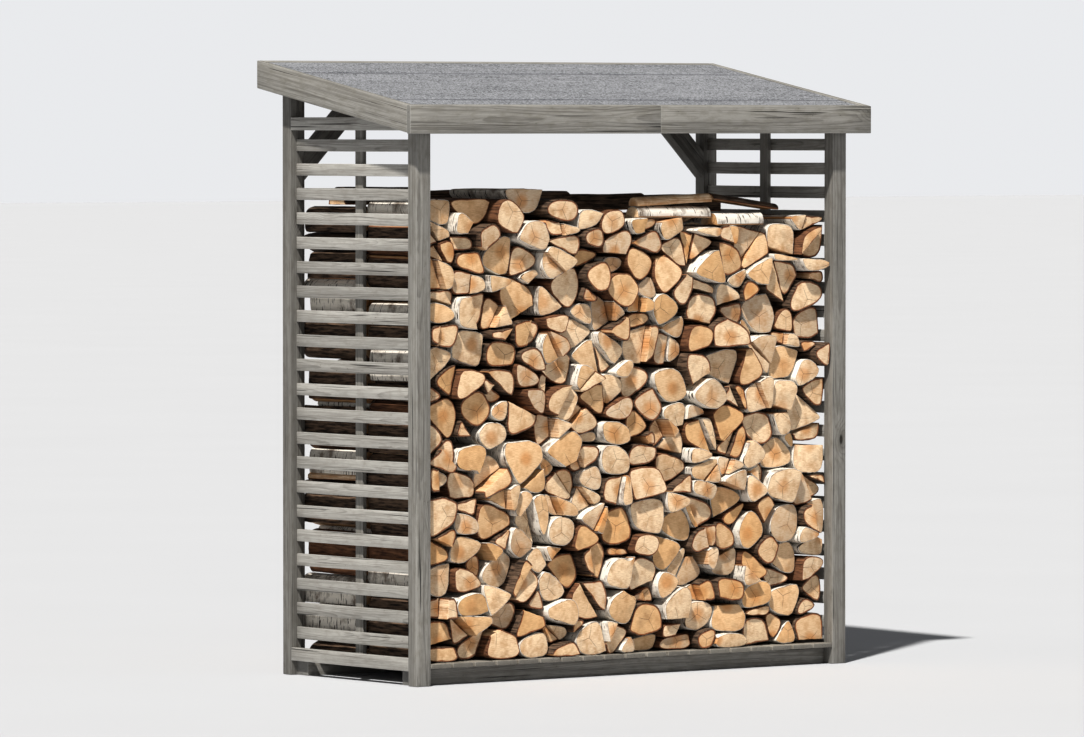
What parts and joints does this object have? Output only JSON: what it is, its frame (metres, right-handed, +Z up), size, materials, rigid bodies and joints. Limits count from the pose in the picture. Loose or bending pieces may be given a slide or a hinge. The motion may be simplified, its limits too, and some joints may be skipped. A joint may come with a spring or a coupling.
{
  "type": "log store",
  "caption": "Open-fronted timber log store with slatted sides, a felted single-pitch roof, braced rear corners and a raised board floor, stacked with split firewood.",
  "frame": {"origin": "on the ground under the middle of the roof's outline", "axes": "+X to the right seen from the open front, +Y from the front to the back, +Z up"},
  "size_m": [1.86, 0.816, 1.9509],
  "materials": {
    "frame_timber": "weathered grey-brown sawn softwood",
    "panel_timber": "weathered grey planed softwood",
    "floor_timber": "weathered grey-brown sawn softwood",
    "roof_timber": "sheltered sawn softwood",
    "fascia_timber": "weathered grey-brown planed softwood",
    "roof_felt": "blue-grey mineral roofing felt",
    "firewood": "split and sawn wood with bark"
  },
  "bodies": {
    "root": {"post_front_left": "frame_timber", "post_front_right": "frame_timber", "post_rear_left": "frame_timber", "post_rear_right": "frame_timber", "beam_front": "frame_timber", "beam_rear": "frame_timber", "brace_rear_left": "frame_timber", "brace_rear_right": "frame_timber", "bearer_front": "frame_timber", "bearer_rear": "frame_timber", "floor_boards": "floor_timber", "top_rail_left": "panel_timber", "top_rail_right": "panel_timber", "bottom_rail_left": "panel_timber", "bottom_rail_right": "panel_timber", "slats_left": "panel_timber", "slats_right": "panel_timber", "batten_left": "panel_timber", "batten_right": "panel_timber", "roof_boards": "roof_timber", "roof_felt": "roof_felt", "fascia_front_left": "fascia_timber", "fascia_front_right": "fascia_timber", "fascia_rear": "fascia_timber", "fascia_left": "fascia_timber", "fascia_right": "fascia_timber", "firewood_front_1": "firewood", "firewood_front_2": "firewood", "firewood_front_3": "firewood", "firewood_front_4": "firewood", "firewood_front_5": "firewood", "firewood_rear_1": "firewood", "firewood_rear_2": "firewood", "firewood_rear_3": "firewood", "firewood_rear_4": "firewood", "firewood_rear_5": "firewood", "firewood_on_top": "firewood"}
  },
  "joints": []
}
